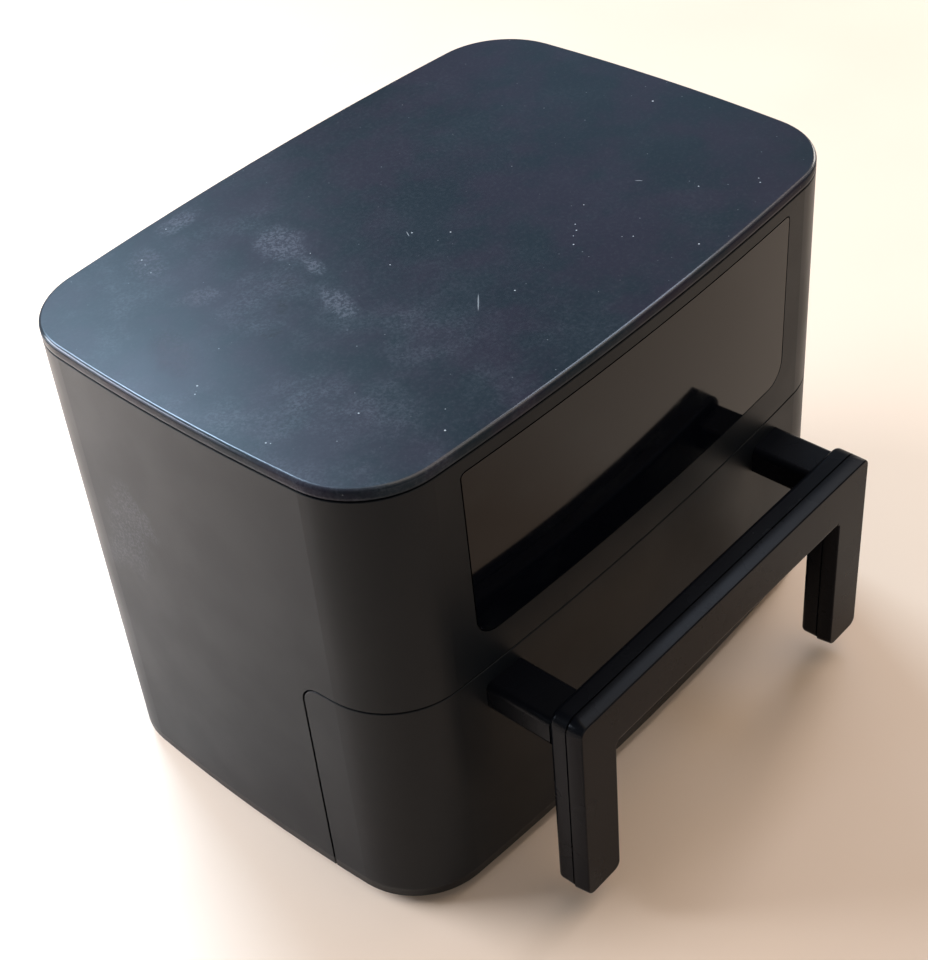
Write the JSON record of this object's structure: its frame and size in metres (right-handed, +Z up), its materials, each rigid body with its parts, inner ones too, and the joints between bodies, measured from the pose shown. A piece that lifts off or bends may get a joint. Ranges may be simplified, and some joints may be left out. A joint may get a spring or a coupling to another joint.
{
  "type": "air fryer",
  "caption": "Wide matte black air fryer with a gloss touch panel and a pull-out drawer carried by a fork-shaped handle, holding a pan and a lift-out crisper plate.",
  "frame": {"origin": "middle of the overall box, on the surface that the feet stand on", "axes": "+X to the viewer's right when facing the panel, -Y out of the front, +Z up"},
  "size_m": [0.38, 0.319, 0.293],
  "materials": {
    "black_shell": "fine matte",
    "black_top": "satin",
    "gloss_panel": "gloss",
    "grey_plastic": "matte",
    "circuit_board": "semi-gloss",
    "black_base": "matte",
    "foot_rubber": "matte",
    "screw_steel": "plain",
    "chamber_steel": "satin",
    "element_steel": "heat-darkened",
    "motor_steel": "satin",
    "white_ceramic": "fired ceramic, matte",
    "seal_rubber": "matte",
    "pan_coating": "non-stick coating",
    "black_handle": "fine matte",
    "fan_aluminium": "plain"
  },
  "bodies": {
    "housing": {"outer_shell": "black_shell", "top_plate": "black_top", "control_panel": "gloss_panel", "panel_backing": "grey_plastic", "control_board": "circuit_board", "display_module": "grey_plastic", "base_plate": "black_base", "rubber_feet": "foot_rubber", "foot_screws": "screw_steel", "rear_cover": "black_base", "cord_gland": "black_base", "front_frame": "black_base", "cavity_liner": "chamber_steel", "left_rail": "chamber_steel", "right_rail": "chamber_steel", "heater_guard": "chamber_steel", "heat_reflector": "chamber_steel", "heater_bushes": "white_ceramic", "motor_bracket": "chamber_steel", "motor_screws": "screw_steel", "temperature_sensor": "screw_steel", "exhaust_duct": "chamber_steel", "power_board": "circuit_board", "drawer_sensor": "grey_plastic", "left_heating_element": "element_steel", "right_heating_element": "element_steel", "left_motor": "motor_steel", "right_motor": "motor_steel"},
    "drawer": {"drawer_front": "black_shell", "drawer_inner": "black_base", "drawer_seal": "seal_rubber", "drawer_magnet": "screw_steel", "pan": "pan_coating", "left_handle_arm": "black_handle", "right_handle_arm": "black_handle", "handle_back": "black_handle", "handle_front": "black_handle", "handle_screws": "screw_steel"},
    "crisper": {"crisper_plate": "pan_coating", "crisper_bumpers": "seal_rubber"},
    "left_rotor": {"left_hot_fan": "fan_aluminium", "left_cooling_fan": "fan_aluminium", "left_fan_shaft": "screw_steel"},
    "right_rotor": {"right_hot_fan": "fan_aluminium", "right_cooling_fan": "fan_aluminium", "right_fan_shaft": "screw_steel"}
  },
  "joints": [
    {"name": "drawer_slide", "type": "slide", "parent": "housing", "child": "drawer", "axis": [0, -1, 0], "range_m": [0, 0.19]},
    {"name": "crisper_lift", "type": "slide", "parent": "drawer", "child": "crisper", "axis": [0, 0, 1], "range_m": [0, 0.09]},
    {"name": "left_fan_spin", "type": "hinge", "parent": "housing", "child": "left_rotor", "pos_m": [-0.076, 0.028, 0.2], "axis": [0, 0, 1], "continuous": true},
    {"name": "right_fan_spin", "type": "hinge", "parent": "housing", "child": "right_rotor", "pos_m": [0.076, 0.028, 0.2], "axis": [0, 0, 1], "continuous": true}
  ]
}
